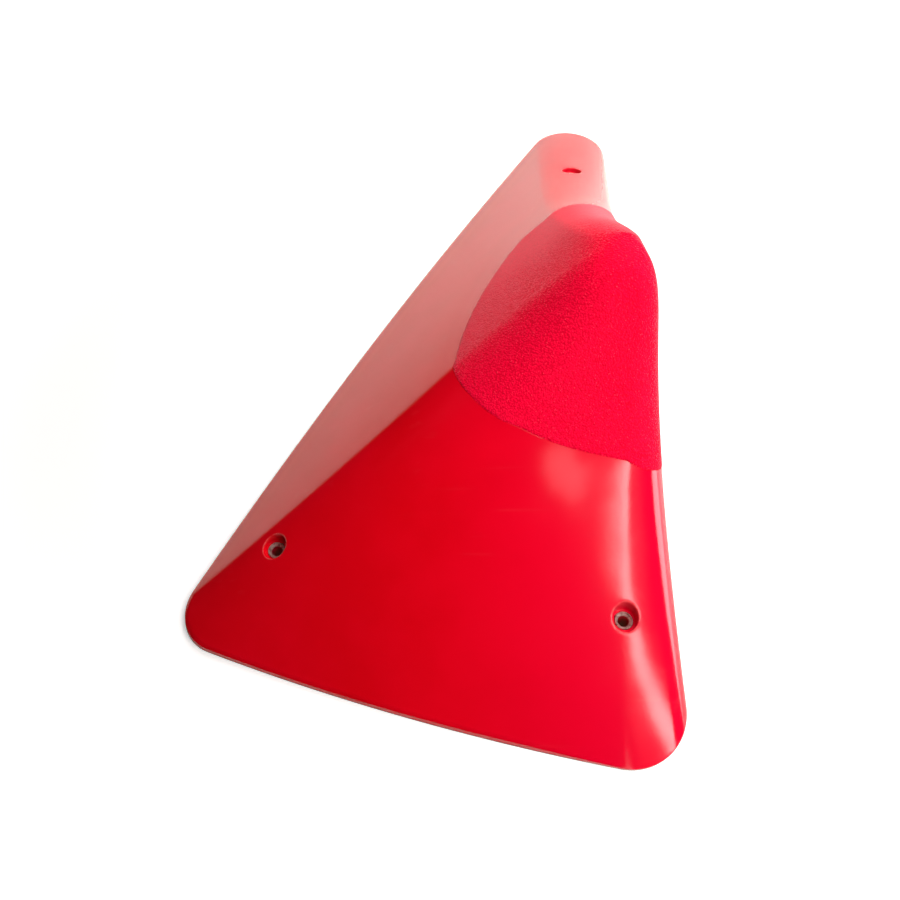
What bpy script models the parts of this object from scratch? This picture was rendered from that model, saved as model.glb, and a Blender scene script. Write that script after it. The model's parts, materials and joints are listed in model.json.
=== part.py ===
"""Climbing hold: a glossy three-sided pyramid with a rough grip zone round its peak.

The hold lies on its open back, as it stands off the wall. Z is up from the wall plane,
Y runs from the front edge to the tail, and X runs towards the steep right wall.
All sizes are in metres.
"""
import math

import bmesh
import bpy
import numpy as np
from mathutils import Vector
from mathutils.bvhtree import BVHTree

# Footprint: where the sides would meet if the corners were sharp, on the back plane
LEFT_CORNER_X, LEFT_CORNER_Y = -0.1759, -0.2030
RIGHT_CORNER_X, RIGHT_CORNER_Y = 0.1504, -0.2978
TAIL_CORNER_X, TAIL_CORNER_Y = 0.1678, 0.3715
# Peak: where the three ridges arrive under the dome
LEFT_PEAK_X, LEFT_PEAK_Y = 0.0990, -0.0564
RIGHT_PEAK_X, RIGHT_PEAK_Y = 0.1369, -0.0653
TAIL_PEAK_X, TAIL_PEAK_Y = 0.1090, 0.0339
# Rise of the faces above the rim band, and how strongly the dome rounds the top
RISE = 0.1780
DOME = 0.0107
DRAW_IN = 0.08
RIM_BAND = 0.0035
# A power above one makes a ridge flatter near its corner and steeper near the peak
LEFT_POWER = 1.21
RIGHT_POWER = 2.01
TAIL_POWER = 1.39
# Corner radii of the level sections, at the back and at the peak
LEFT_RADIUS, LEFT_RADIUS_TOP = 0.0284, 0.0450
RIGHT_RADIUS, RIGHT_RADIUS_TOP = 0.0370, 0.0120
TAIL_RADIUS, TAIL_RADIUS_TOP = 0.0348, 0.0200
# How far each side of the footprint bows outwards
FRONT_BOW, WALL_BOW, LEFT_BOW = 0.0086, 0.0003, 0.0118

# Layers of the shell, measured square to the surface
SKIN = 0.0012
LAMINATE = 0.0040
GRIP = 0.0006
GRIP_PROUD = 0.0003
GAP = 0.0003
# The layers are lofted this far past the wall plane and then trimmed flat on it
SKIRT = 2 * (SKIN + GAP + LAMINATE)

# Height of the grip zone's edge: at the start, middle and end of each ridge's rounding,
# in the order left face, front, wall, and on the faces between them
GRIP_LEFT_START, GRIP_LEFT_RIDGE, GRIP_LEFT_END = 0.1011, 0.1063, 0.1033
GRIP_FRONT = 0.0949
GRIP_RIGHT_START, GRIP_RIGHT_RIDGE, GRIP_RIGHT_END = 0.0874, 0.0798, 0.0740
GRIP_WALL = 0.0820
GRIP_TAIL_START, GRIP_TAIL_RIDGE, GRIP_TAIL_END = 0.1000, 0.1130, 0.1100
GRIP_FACE_HIGH, GRIP_FACE, GRIP_FACE_LOW = 0.0925, 0.0887, 0.0938

# Screw positions on the back plane
LEFT_SCREW_X, LEFT_SCREW_Y = -0.1017, -0.1579
RIGHT_SCREW_X, RIGHT_SCREW_Y = 0.1141, -0.2103
TAIL_SCREW_X, TAIL_SCREW_Y = 0.1186, 0.1667

# Screw cup moulded in the skin, steel ferrule and the post behind it
CUP_RADIUS = 0.0072
CUP_DRAFT = math.radians(4.5)
CUP_DEPTH = 0.0070
FERRULE_RADIUS = 0.00545
FERRULE_LENGTH = 0.0045
FERRULE_PROUD = 0.0006
FERRULE_RIM = 0.0008
SEAT_DEPTH = 0.0024
BORE_RADIUS = 0.0033
POST_FOOT_RADIUS = 0.0125

# Steps of the lofted surface: round each corner and side, below and above the grip edge
ARC_STEPS = 8
SIDE_STEPS = 8
LOWER_STEPS = 11
UPPER_STEPS = 9
ROUND_STEPS = 32

BASE = [np.array([LEFT_CORNER_X, LEFT_CORNER_Y]), np.array([RIGHT_CORNER_X, RIGHT_CORNER_Y]),
        np.array([TAIL_CORNER_X, TAIL_CORNER_Y])]
TOP = [np.array([LEFT_PEAK_X, LEFT_PEAK_Y]), np.array([RIGHT_PEAK_X, RIGHT_PEAK_Y]),
       np.array([TAIL_PEAK_X, TAIL_PEAK_Y])]
POWERS = [LEFT_POWER, RIGHT_POWER, TAIL_POWER]
RADII = [(LEFT_RADIUS, LEFT_RADIUS_TOP), (RIGHT_RADIUS, RIGHT_RADIUS_TOP),
         (TAIL_RADIUS, TAIL_RADIUS_TOP)]
BOWS = [FRONT_BOW, WALL_BOW, LEFT_BOW]
SCREWS = {"left": np.array([LEFT_SCREW_X, LEFT_SCREW_Y]),
          "right": np.array([RIGHT_SCREW_X, RIGHT_SCREW_Y]),
          "tail": np.array([TAIL_SCREW_X, TAIL_SCREW_Y])}


def clear_scene():
    for obj in list(bpy.data.objects):
        bpy.data.objects.remove(obj, do_unlink=True)


def new_collection(name):
    collection = bpy.data.collections.new(name)
    bpy.context.scene.collection.children.link(collection)
    return collection


def new_material(name, color, roughness, metallic=0.0, coat=0.0):
    material = bpy.data.materials.new(name)
    material.use_nodes = True
    shader = material.node_tree.nodes["Principled BSDF"]
    shader.inputs["Base Color"].default_value = (*color, 1.0)
    shader.inputs["Roughness"].default_value = roughness
    shader.inputs["Metallic"].default_value = metallic
    shader.inputs["Coat Weight"].default_value = coat
    material.diffuse_color = (*color, 1.0)
    return material


# Level sections

def rounded_section(corners, radii, bows):
    """A closed outline of three slightly bowed sides, joined by tangent corner arcs."""
    centres, side_radii = [], []
    for i in range(3):
        start, end = corners[i], corners[(i + 1) % 3]
        chord = end - start
        length = np.hypot(*chord)
        sag = max(bows[i], length * 1e-4)
        radius = (length * length / 4 + sag * sag) / (2 * sag)
        outward = np.array([chord[1], -chord[0]]) / length
        centres.append((start + end) / 2 - outward * (radius - sag))
        side_radii.append(radius)
    # A corner's centre lies where the two side circles meet, both drawn in by its radius
    fillets = []
    for i in range(3):
        r1, r2 = side_radii[i - 1] - radii[i], side_radii[i] - radii[i]
        span = centres[i] - centres[i - 1]
        distance = np.hypot(*span)
        along = (r1 * r1 - r2 * r2 + distance * distance) / (2 * distance)
        across = math.sqrt(max(r1 * r1 - along * along, 0.0))
        foot = centres[i - 1] + span * along / distance
        aside = np.array([-span[1], span[0]]) * across / distance
        fillets.append(min((foot + aside, foot - aside),
                           key=lambda c: np.hypot(*(c - corners[i]))))
    points = []
    for i in range(3):
        arrive, leave = fillets[i] - centres[i - 1], fillets[i] - centres[i]
        a0 = math.atan2(arrive[1], arrive[0])
        a1 = math.atan2(leave[1], leave[0])
        sweep = (a1 - a0) % math.tau
        angles = a0 + sweep * np.arange(ARC_STEPS + 1) / ARC_STEPS
        arc = np.column_stack([np.cos(angles), np.sin(angles)])
        points.append(fillets[i] + radii[i] * arc)
        onward = fillets[(i + 1) % 3] - centres[i]
        sweep = (math.atan2(onward[1], onward[0]) - a1 + math.pi) % math.tau - math.pi
        angles = a1 + sweep * np.arange(1, SIDE_STEPS) / SIDE_STEPS
        arc = np.column_stack([np.cos(angles), np.sin(angles)])
        points.append(centres[i] + side_radii[i] * arc)
    return np.concatenate(points)


def section_at(share):
    """The outline at a share of the way out, 1 at the back and 0 at the top of the peak."""
    middle = sum(TOP) / 3
    draw = share / math.hypot(share, DRAW_IN) * math.hypot(1, DRAW_IN)
    corners = []
    for base, top, power in zip(BASE, TOP, POWERS):
        end = middle + (top - middle) * draw
        corners.append(end + (base - end) * share ** power)
    u, v = corners[1] - corners[0], corners[2] - corners[0]
    around = sum(np.hypot(*(corners[i] - corners[i - 1])) for i in range(3))
    inscribed = abs(u[0] * v[1] - u[1] * v[0]) / around
    # Each corner radius is held under the largest circle that the section takes
    radii = []
    for at_back, at_peak in RADII:
        radius = at_peak + (at_back - at_peak) * share
        radii.append((radius ** -3 + (0.97 * inscribed) ** -3) ** (-1 / 3))
    return rounded_section(corners, radii, [bow * share for bow in BOWS])


# The origin is the middle of the footprint's box
BACK = section_at(1.0)
MIDDLE = (BACK.min(axis=0) + BACK.max(axis=0)) / 2
BASE = [corner - MIDDLE for corner in BASE]
TOP = [corner - MIDDLE for corner in TOP]
SCREWS = {side: place - MIDDLE for side, place in SCREWS.items()}


def height_at(share):
    return RIM_BAND + math.hypot(RISE, DOME) - math.hypot(RISE * share, DOME)


def share_at(height):
    reach = math.hypot(RISE, DOME) - (height - RIM_BAND)
    return math.sqrt(max(reach * reach - DOME * DOME, 0.0)) / RISE


def column_of(place):
    """Column at a place round the ring, where each corner and each side counts for one."""
    pair, rest = divmod(place, 2)
    return pair * (ARC_STEPS + SIDE_STEPS) + (
        rest * ARC_STEPS if rest <= 1 else ARC_STEPS + (rest - 1) * SIDE_STEPS)


def around_ring(places, stations):
    """A smooth closed curve through values set at places round the ring."""
    columns = 3 * (ARC_STEPS + SIDE_STEPS)
    marks = [column_of(place) for place in places]
    wrapped = [marks[-1] - columns] + marks + [marks[0] + columns, marks[1] + columns]
    held = [stations[-1]] + stations + [stations[0], stations[1]]
    slopes = [(held[k + 1] - held[k - 1]) / (wrapped[k + 1] - wrapped[k - 1])
              for k in range(1, len(held) - 1)]
    values = []
    for column in range(columns):
        k = max(i for i in range(1, len(marks) + 1) if wrapped[i] <= column)
        span = wrapped[k + 1] - wrapped[k]
        t = (column - wrapped[k]) / span
        values.append((2 * t ** 3 - 3 * t ** 2 + 1) * held[k]
                      + (3 * t ** 2 - 2 * t ** 3) * held[k + 1]
                      + (t ** 3 - 2 * t ** 2 + t) * span * slopes[k - 1]
                      + (t ** 3 - t ** 2) * span * slopes[k])
    return np.array(values)


GRIP_PLACES = [0, 0.5, 1, 1.5, 2, 2.5, 3, 3.5, 4, 4.5, 5, 5.25, 5.5, 5.75]
GRIP_EDGE = around_ring(GRIP_PLACES, [share_at(z) for z in (
    GRIP_LEFT_START, GRIP_LEFT_RIDGE, GRIP_LEFT_END, GRIP_FRONT, GRIP_RIGHT_START,
    GRIP_RIGHT_RIDGE, GRIP_RIGHT_END, GRIP_WALL, GRIP_TAIL_START, GRIP_TAIL_RIDGE,
    GRIP_TAIL_END, GRIP_FACE_HIGH, GRIP_FACE, GRIP_FACE_LOW)])


def ring_of(shares):
    """One ring of points, each column of which stands at its own share."""
    ring = []
    for column, share in enumerate(shares):
        x, y = section_at(share)[column]
        ring.append((x, y, height_at(share)))
    return ring


def lower_rings():
    """From a skirt below the wall plane, over the rim band, up to the edge of the grip zone."""
    rings = [[(x, y, -SKIRT) for x, y in section_at(1.0)]]
    for step in range(LOWER_STEPS + 1):
        rings.append(ring_of(1.0 + (GRIP_EDGE - 1.0) * step / LOWER_STEPS))
    return rings


def upper_rings(inset=0.0):
    """From the edge of the grip zone to just under the top, drawn in by an inset."""
    rings = []
    for step in range(UPPER_STEPS):
        rings.append(ring_of(GRIP_EDGE * (1 - step / UPPER_STEPS) ** 1.35))
    if inset:
        edge, above = np.array(rings[0]), np.array(rings[1])
        run = above - edge
        rings[0] = edge + run * inset / np.linalg.norm(run, axis=1)[:, None]
    return rings


def loft(name, rings, material, collection, top=None, close_back=False):
    """Skins a stack of rings with quads, and closes the top with a fan."""
    columns = len(rings[0])
    verts = [tuple(point) for ring in rings for point in ring]
    faces = []
    for r in range(len(rings) - 1):
        for c in range(columns):
            d = (c + 1) % columns
            faces.append((r * columns + c, r * columns + d,
                          (r + 1) * columns + d, (r + 1) * columns + c))
    if top is not None:
        verts.append(top)
        last = (len(rings) - 1) * columns
        for c in range(columns):
            faces.append((last + c, last + (c + 1) % columns, len(verts) - 1))
    if close_back:
        faces.append(tuple(reversed(range(columns))))
    mesh = bpy.data.meshes.new(name)
    mesh.from_pydata(verts, [], faces)
    return add_object(name, mesh, material, collection)


# Objects and modifiers

def add_object(name, mesh, material, collection):
    obj = bpy.data.objects.new(name, mesh)
    collection.objects.link(obj)
    if material is None:
        obj.hide_render = True
        obj.display_type = "WIRE"
    else:
        mesh.materials.append(material)
        mesh.shade_smooth()
        mesh.set_sharp_from_angle(angle=math.radians(32))
    return obj


def layer(obj, outer, inner):
    """Thickens an open surface between two offsets, both measured outwards from it."""
    solid = obj.modifiers.new("layer", "SOLIDIFY")
    solid.thickness = outer - inner
    solid.offset = (outer + inner) / (outer - inner)
    solid.use_even_offset = True
    return solid


def combine(obj, other, operation):
    boolean = obj.modifiers.new(operation.lower() + "_" + other.name, "BOOLEAN")
    boolean.operation = operation
    boolean.object = other
    boolean.solver = "EXACT"
    return boolean


def cone(name, low, high, low_radius, high_radius, place, collection):
    """A closed cone or cylinder on a vertical axis, used as a cutter."""
    bm = bmesh.new()
    bmesh.ops.create_cone(bm, cap_ends=True, segments=ROUND_STEPS, radius1=low_radius,
                          radius2=high_radius, depth=high - low)
    bmesh.ops.translate(bm, verts=bm.verts, vec=(0, 0, (low + high) / 2))
    mesh = bpy.data.meshes.new(name)
    bm.to_mesh(mesh)
    bm.free()
    obj = add_object(name, mesh, None, collection)
    obj.location = (*place, 0)
    return obj


def below_the_wall(collection):
    """A block under the whole footprint, which trims the shell's layers flat on the wall."""
    bm = bmesh.new()
    bmesh.ops.create_cube(bm, size=1.0)
    width, length = (BACK.max(axis=0) - BACK.min(axis=0)) * 1.2
    bmesh.ops.scale(bm, verts=bm.verts, vec=(width, length, 2 * SKIRT))
    bmesh.ops.translate(bm, verts=bm.verts, vec=(0, 0, -SKIRT))
    mesh = bpy.data.meshes.new("below_the_wall")
    bm.to_mesh(mesh)
    bm.free()
    return add_object("below_the_wall", mesh, None, collection)


def turned(name, profile, material, place, collection):
    """Revolves a closed profile of radius and height pairs about a vertical axis."""
    mesh = bpy.data.meshes.new(name)
    verts = [(radius, 0, height) for radius, height in profile]
    mesh.from_pydata(verts, [(i, (i + 1) % len(verts)) for i in range(len(verts))], [])
    obj = add_object(name, mesh, material, collection)
    screw = obj.modifiers.new("turn", "SCREW")
    screw.steps = screw.render_steps = ROUND_STEPS
    screw.use_merge_vertices = True
    screw.merge_threshold = 0.0000001
    screw.use_smooth_shade = True
    obj.location = (*place, 0)
    return obj


def build():
    clear_scene()
    hold = new_collection("climbing_hold")
    cutters = new_collection("cutters")
    gloss = new_material("red_gel_coat", (0.56, 0.0, 0.012), 0.12, coat=0.5)
    sandy = new_material("red_grip_coat", (0.60, 0.0, 0.035), 0.85)
    fibre = new_material("glass_fibre_laminate", (0.42, 0.16, 0.12), 0.6)
    resin = new_material("red_cast_resin", (0.22, 0.01, 0.012), 0.45)
    steel = new_material("zinc_plated_steel", (0.62, 0.58, 0.52), 0.28, metallic=1.0)

    # The outer surface, which the two shell layers and the grip zone share
    lower, upper = lower_rings(), upper_rings()
    top = (*(sum(TOP) / 3), height_at(0.0))
    skin = loft("gel_coat_skin", lower + upper[1:], gloss, hold, top)
    laminate = loft("laminate_shell", lower + upper[1:], fibre, hold, top)
    form = loft("form", lower + upper[1:], None, cutters, top, close_back=True)
    surface = BVHTree.FromPolygons([v.co for v in form.data.vertices],
                                   [p.vertices for p in form.data.polygons])
    shrink = form.modifiers.new("under_the_surface", "DISPLACE")
    shrink.strength = -SKIN / 3
    shrink.mid_level = 0.0

    layer(skin, 0.0, -SKIN)
    layer(laminate, -SKIN - GAP, -SKIN - GAP - LAMINATE)
    ground = below_the_wall(cutters)
    combine(skin, ground, "DIFFERENCE")
    combine(laminate, ground, "DIFFERENCE")

    # The grip zone sits in a shallow recess and stands slightly proud of the gloss
    grip = loft("grip_coat", upper_rings(GAP), sandy, hold, top)
    layer(grip, GRIP_PROUD, GRIP_PROUD - GRIP)
    recess = loft("grip_recess", upper, None, cutters, top)
    layer(recess, 5 * GRIP, GRIP_PROUD - GRIP - GAP)
    combine(skin, recess, "DIFFERENCE")

    sleeve_radius = CUP_RADIUS + SKIN
    seat_radius = FERRULE_RADIUS + GAP
    for side, place in SCREWS.items():
        hit = surface.ray_cast(Vector((*place, 1.0)), Vector((0, 0, -1)))[0]
        mouth = hit.z
        floor = mouth - CUP_DEPTH
        above = mouth + 2 * CUP_DEPTH

        # The skin turns down into a cup with a flat floor and a hole for the ferrule
        sleeve = cone(side + "_sleeve", floor - SKIN, above, sleeve_radius, sleeve_radius,
                      place, cutters)
        combine(sleeve, form, "INTERSECT")
        combine(skin, sleeve, "UNION")
        widen = math.tan(CUP_DRAFT) * (above - floor)
        combine(skin, cone(side + "_cup", floor, above, CUP_RADIUS, CUP_RADIUS + widen,
                           place, cutters), "DIFFERENCE")
        combine(skin, cone(side + "_seat", floor - 2 * SKIN, floor + SKIN, seat_radius,
                           seat_radius, place, cutters), "DIFFERENCE")
        combine(laminate, cone(side + "_clearance", floor - 3 * CUP_DEPTH, above,
                               sleeve_radius + GAP, sleeve_radius + GAP, place, cutters),
                "DIFFERENCE")

        # The ferrule stands slightly above the cup's floor and takes the screw's head
        rim = floor + FERRULE_PROUD
        turned(side + "_screw_ferrule", [
            (FERRULE_RADIUS, rim), (FERRULE_RADIUS, rim - FERRULE_LENGTH),
            (BORE_RADIUS, rim - FERRULE_LENGTH), (BORE_RADIUS, rim - SEAT_DEPTH),
            (FERRULE_RADIUS - FERRULE_RIM, rim)], steel, place, hold)

        # The post carries the cup and the ferrule down to the wall
        post_top = floor - SKIN - GAP
        seat = rim - FERRULE_LENGTH - GAP
        turned(side + "_screw_post", [
            (sleeve_radius, post_top), (POST_FOOT_RADIUS, 0.0), (BORE_RADIUS, 0.0),
            (BORE_RADIUS, seat), (seat_radius, seat), (seat_radius, post_top)],
            resin, place, hold)
        print(side, "screw: mouth", round(mouth * 1000, 1), "mm, ferrule rim",
              round(rim * 1000, 1), "mm above the wall")
    return hold


build()
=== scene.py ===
# %% [markdown]
# # A dual-texture climbing hold
# The real hold is a hollow pyramid of glass fibre under a glossy red gel coat. Round its
# peak the gel coat is broken by a sandy grip zone, and three moulded cups with steel
# ferrules take the wall screws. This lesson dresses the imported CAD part: each piece that
# the camera comes close to is modelled again with finer edges, and every finish is mixed
# from procedural nodes.

# %% Load the frame
import json
import math

import bmesh
import bpy
import numpy as np
from mathutils import Matrix, Vector, noise
from mathutils.bvhtree import BVHTree

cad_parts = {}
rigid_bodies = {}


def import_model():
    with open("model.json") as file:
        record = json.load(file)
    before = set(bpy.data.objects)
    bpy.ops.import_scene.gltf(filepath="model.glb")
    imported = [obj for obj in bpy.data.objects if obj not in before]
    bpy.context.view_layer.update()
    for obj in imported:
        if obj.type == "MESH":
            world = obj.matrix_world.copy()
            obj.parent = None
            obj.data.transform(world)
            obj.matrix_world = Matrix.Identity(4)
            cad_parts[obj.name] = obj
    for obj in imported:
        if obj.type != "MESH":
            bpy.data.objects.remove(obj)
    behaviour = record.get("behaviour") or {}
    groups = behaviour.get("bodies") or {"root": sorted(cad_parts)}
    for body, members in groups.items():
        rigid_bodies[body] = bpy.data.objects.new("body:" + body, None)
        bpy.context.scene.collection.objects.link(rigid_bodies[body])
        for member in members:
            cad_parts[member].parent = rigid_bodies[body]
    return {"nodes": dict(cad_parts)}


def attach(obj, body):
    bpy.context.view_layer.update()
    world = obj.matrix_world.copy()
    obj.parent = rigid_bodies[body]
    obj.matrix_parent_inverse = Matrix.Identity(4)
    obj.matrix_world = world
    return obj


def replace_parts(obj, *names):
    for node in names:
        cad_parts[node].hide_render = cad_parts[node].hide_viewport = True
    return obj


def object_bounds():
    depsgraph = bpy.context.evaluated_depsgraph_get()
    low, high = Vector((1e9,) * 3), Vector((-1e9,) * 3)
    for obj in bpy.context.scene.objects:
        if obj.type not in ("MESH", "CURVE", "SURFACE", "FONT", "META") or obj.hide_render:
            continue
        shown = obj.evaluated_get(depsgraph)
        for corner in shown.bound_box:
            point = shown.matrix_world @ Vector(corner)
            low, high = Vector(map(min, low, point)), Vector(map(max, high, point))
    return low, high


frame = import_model()
cad_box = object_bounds()
mm = 0.001
print("CAD nodes:", sorted(frame["nodes"]))

# %% [markdown]
# ## The form of the shell
# The shell is a stack of level sections. Each section is a triangle with bowed sides and
# round corners, and every corner climbs its own ridge towards the peak. The numbers are
# the ones that the CAD source uses, so the fine surface lies exactly on the solids. A
# sculpted mesh would look as good, but it would drift away from them.

# %% Sizes of the shell
foot_corners = np.array([(-175.9, -203.0), (150.4, -297.8), (167.8, 371.5)]) * mm
peak_corners = np.array([(99.0, -56.4), (136.9, -65.3), (109.0, 33.9)]) * mm
ridge_powers = (1.21, 2.01, 1.39)
foot_radii = np.array([28.4, 37.0, 34.8]) * mm
peak_radii = np.array([45.0, 12.0, 20.0]) * mm
side_bows = np.array([8.6, 0.3, 11.8]) * mm
rise, dome, draw_in, rim_band = 178.0 * mm, 10.7 * mm, 0.08, 3.5 * mm
grip_places = np.array([0, 0.5, 1, 1.5, 2, 2.5, 3, 3.5, 4, 4.5, 5, 5.25, 5.5, 5.75])
grip_heights = np.array([101.1, 106.3, 103.3, 94.9, 87.4, 79.8, 74.0, 82.0, 100.0, 113.0,
                         110.0, 92.5, 88.7, 93.8]) * mm
skin_wall, air, laminate_wall = 1.2 * mm, 0.3 * mm, 4.0 * mm
grip_wall, grip_proud = 0.6 * mm, 0.3 * mm


# %% One level section
def bowed_triangle(corners, radii, bows, arc_steps, side_steps):
    """Three bowed sides joined by tangent corner arcs, as one closed ring of points."""
    centres, sweeps = [], []
    for i in range(3):
        chord = corners[(i + 1) % 3] - corners[i]
        length = np.hypot(*chord)
        sag = max(bows[i], length * 1e-4)
        radius = (length * length / 4 + sag * sag) / (2 * sag)
        outward = np.array([chord[1], -chord[0]]) / length
        centres.append((corners[i] + corners[(i + 1) % 3]) / 2 - outward * (radius - sag))
        sweeps.append(radius)
    fillets = []
    for i in range(3):
        before, after = sweeps[i - 1] - radii[i], sweeps[i] - radii[i]
        span = centres[i] - centres[i - 1]
        apart = np.hypot(*span)
        along = (before * before - after * after + apart * apart) / (2 * apart)
        across = math.sqrt(max(before * before - along * along, 0.0))
        foot = centres[i - 1] + span * along / apart
        aside = np.array([-span[1], span[0]]) * across / apart
        fillets.append(min((foot + aside, foot - aside),
                           key=lambda c: np.hypot(*(c - corners[i]))))
    ring = []
    for i in range(3):
        arrive, leave = fillets[i] - centres[i - 1], fillets[i] - centres[i]
        start = math.atan2(arrive[1], arrive[0])
        end = math.atan2(leave[1], leave[0])
        angle = start + (end - start) % math.tau * np.arange(arc_steps + 1) / arc_steps
        ring.append(fillets[i] + radii[i] * np.column_stack([np.cos(angle), np.sin(angle)]))
        onward = fillets[(i + 1) % 3] - centres[i]
        turn = (math.atan2(onward[1], onward[0]) - end + math.pi) % math.tau - math.pi
        angle = end + turn * np.arange(1, side_steps) / side_steps
        ring.append(centres[i] + sweeps[i] * np.column_stack([np.cos(angle), np.sin(angle)]))
    return np.concatenate(ring)


def section(share, arc_steps, side_steps):
    """The section at a share of the way out: 1 on the wall, 0 at the top of the peak."""
    middle = peak_corners.mean(axis=0)
    draw = share / math.hypot(share, draw_in) * math.hypot(1, draw_in)
    ends = middle + (peak_corners - middle) * draw
    corners = ends + (foot_corners - ends) * share ** np.array(ridge_powers)[:, None]
    u, v = corners[1] - corners[0], corners[2] - corners[0]
    around = sum(np.hypot(*(corners[i] - corners[i - 1])) for i in range(3))
    inscribed = abs(u[0] * v[1] - u[1] * v[0]) / around
    radii = peak_radii + (foot_radii - peak_radii) * share
    radii = (radii ** -3 + (0.97 * inscribed) ** -3) ** (-1 / 3)
    return bowed_triangle(corners, radii, side_bows * share, arc_steps, side_steps)


coarse = section(1.0, 8, 8)
origin = (coarse.min(axis=0) + coarse.max(axis=0)) / 2
print("origin shift in mm:", (origin / mm).round(3))


# %% Heights and the edge of the grip zone
def height_at(share):
    return rim_band + math.hypot(rise, dome) - np.hypot(rise * share, dome)


def share_at(height):
    reach = math.hypot(rise, dome) - (height - rim_band)
    return np.sqrt(np.maximum(reach * reach - dome * dome, 0.0)) / rise


def grip_edge(arc_steps, side_steps):
    """The grip zone's edge as a share for each column, smooth through its stations."""
    marks = np.concatenate([grip_places[-1:] - 6, grip_places, grip_places[:2] + 6])
    held = share_at(grip_heights)
    held = np.concatenate([held[-1:], held, held[:2]])
    slopes = (held[2:] - held[:-2]) / (marks[2:] - marks[:-2])
    place = np.concatenate([[2 * i + a / arc_steps for a in range(arc_steps)]
                            + [2 * i + 1 + a / side_steps for a in range(side_steps)]
                            for i in range(3)])
    k = np.searchsorted(marks, place, side="right") - 1
    span = marks[k + 1] - marks[k]
    t = (place - marks[k]) / span
    return ((2 * t ** 3 - 3 * t ** 2 + 1) * held[k] + (3 * t ** 2 - 2 * t ** 3) * held[k + 1]
            + (t ** 3 - 2 * t ** 2 + t) * span * slopes[k - 1]
            + (t ** 3 - t ** 2) * span * slopes[k])


# %% [markdown]
# A ring whose columns stand at different shares needs one point from each section. Sampling
# the sections once on a fine ladder of shares and reading between them is much quicker than
# working out a whole section for every point.

# %% Sample the surface once
class Surface:
    """The outer surface as a grid: columns round the hold, and shares up it."""
    ladder = np.concatenate([np.linspace(0.002, 0.1, 40), np.linspace(0.105, 1.06, 192)])

    def __init__(self, arc_steps, side_steps):
        rows = [section(s, arc_steps, side_steps) - origin for s in self.ladder]
        self.grid = np.array(rows)
        self.columns = self.grid.shape[1]
        self.edge = grip_edge(arc_steps, side_steps)

    def ring(self, shares, offset=0.0):
        """Points at one share per column, moved outwards by an offset."""
        shares = np.broadcast_to(shares, self.columns)
        point, step = self._at(shares), 0.004
        if np.any(offset):
            up = self._at(np.maximum(shares - step, 0.002)) - self._at(shares + step)
            around = np.roll(point, -1, axis=0) - np.roll(point, 1, axis=0)
            normal = np.cross(around, up)
            normal /= np.linalg.norm(normal, axis=1)[:, None]
            point = point + normal * np.broadcast_to(offset, self.columns)[:, None]
        return point

    def _at(self, shares):
        k = np.clip(np.searchsorted(self.ladder, shares) - 1, 0, len(self.ladder) - 2)
        t = (shares - self.ladder[k]) / (self.ladder[k + 1] - self.ladder[k])
        c = np.arange(self.columns)
        flat = self.grid[k, c] * (1 - t)[:, None] + self.grid[k + 1, c] * t[:, None]
        return np.column_stack([flat, height_at(shares)])


surface = Surface(24, 56)
print("surface columns:", surface.columns, "box in mm:",
      (np.ptp(surface.ring(1.0), axis=0) / mm).round(1))

# %% [markdown]
# ## Edit-mode helpers
# An operator acts on all that is selected, so each helper starts by clearing the selection.
# `pull_up` is the main one: it adds a circle, then extrudes its edge again and again, and
# puts every new ring of points where the surface wants it.


# %% Select, pull up and close
def clear_selection():
    """Leaves edit mode and selects no object."""
    if bpy.context.object and bpy.context.object.mode != "OBJECT":
        bpy.ops.object.mode_set(mode="OBJECT")
    bpy.ops.object.select_all(action="DESELECT")


def alone(piece):
    """Selects one object only and makes it active."""
    clear_selection()
    piece.select_set(True)
    bpy.context.view_layer.objects.active = piece


def edit(piece, action="SELECT"):
    """Opens one object in edit mode, with all of it selected or none of it."""
    alone(piece)
    bpy.ops.object.mode_set(mode="EDIT")
    bpy.ops.mesh.select_all(action=action)


def select_open_edges(piece, wanted=lambda edge: True):
    """Selects the open edges of the piece in edit mode, or those of them that are wanted."""
    bm = bmesh.from_edit_mesh(piece.data)
    for edge in bm.edges:
        edge.select_set(edge.is_boundary and wanted(edge))
    bmesh.update_edit_mesh(piece.data)


def place_selected(piece, ring):
    """Moves the selected vertices to the ring, each by the column number it carries."""
    bm = bmesh.from_edit_mesh(piece.data)
    column = bm.verts.layers.int["column"]
    for vert in bm.verts:
        if vert.select:
            vert.co = ring[vert[column]]
    bmesh.update_edit_mesh(piece.data)


def pull_up(name, rings):
    """A circle extruded through a stack of rings, and merged to a point at the end."""
    clear_selection()
    bpy.ops.mesh.primitive_circle_add(vertices=len(rings[0]), radius=0.1, fill_type="NOTHING")
    piece = bpy.context.object
    piece.name = piece.data.name = name
    bpy.ops.object.mode_set(mode="EDIT")
    bpy.ops.mesh.select_all(action="SELECT")
    bm = bmesh.from_edit_mesh(piece.data)
    column = bm.verts.layers.int.new("column")
    for vert in bm.verts:
        vert[column] = vert.index
    place_selected(piece, rings[0])
    for ring in rings[1:]:
        bpy.ops.mesh.extrude_region_move()
        place_selected(piece, ring)
    bpy.ops.mesh.extrude_region_move()
    bpy.ops.mesh.merge(type="CENTER")
    bpy.ops.object.mode_set(mode="OBJECT")
    return piece


def face_outwards(piece, top_is_up=True):
    """Turns an open shell's faces so that its highest face looks up."""
    edit(piece)
    bpy.ops.mesh.normals_make_consistent(inside=False)
    bm = bmesh.from_edit_mesh(piece.data)
    highest = max(bm.faces, key=lambda f: f.calc_center_median().z)
    if (highest.normal.z > 0) != top_is_up:
        bpy.ops.mesh.flip_normals()
    bpy.ops.object.mode_set(mode="OBJECT")


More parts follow.
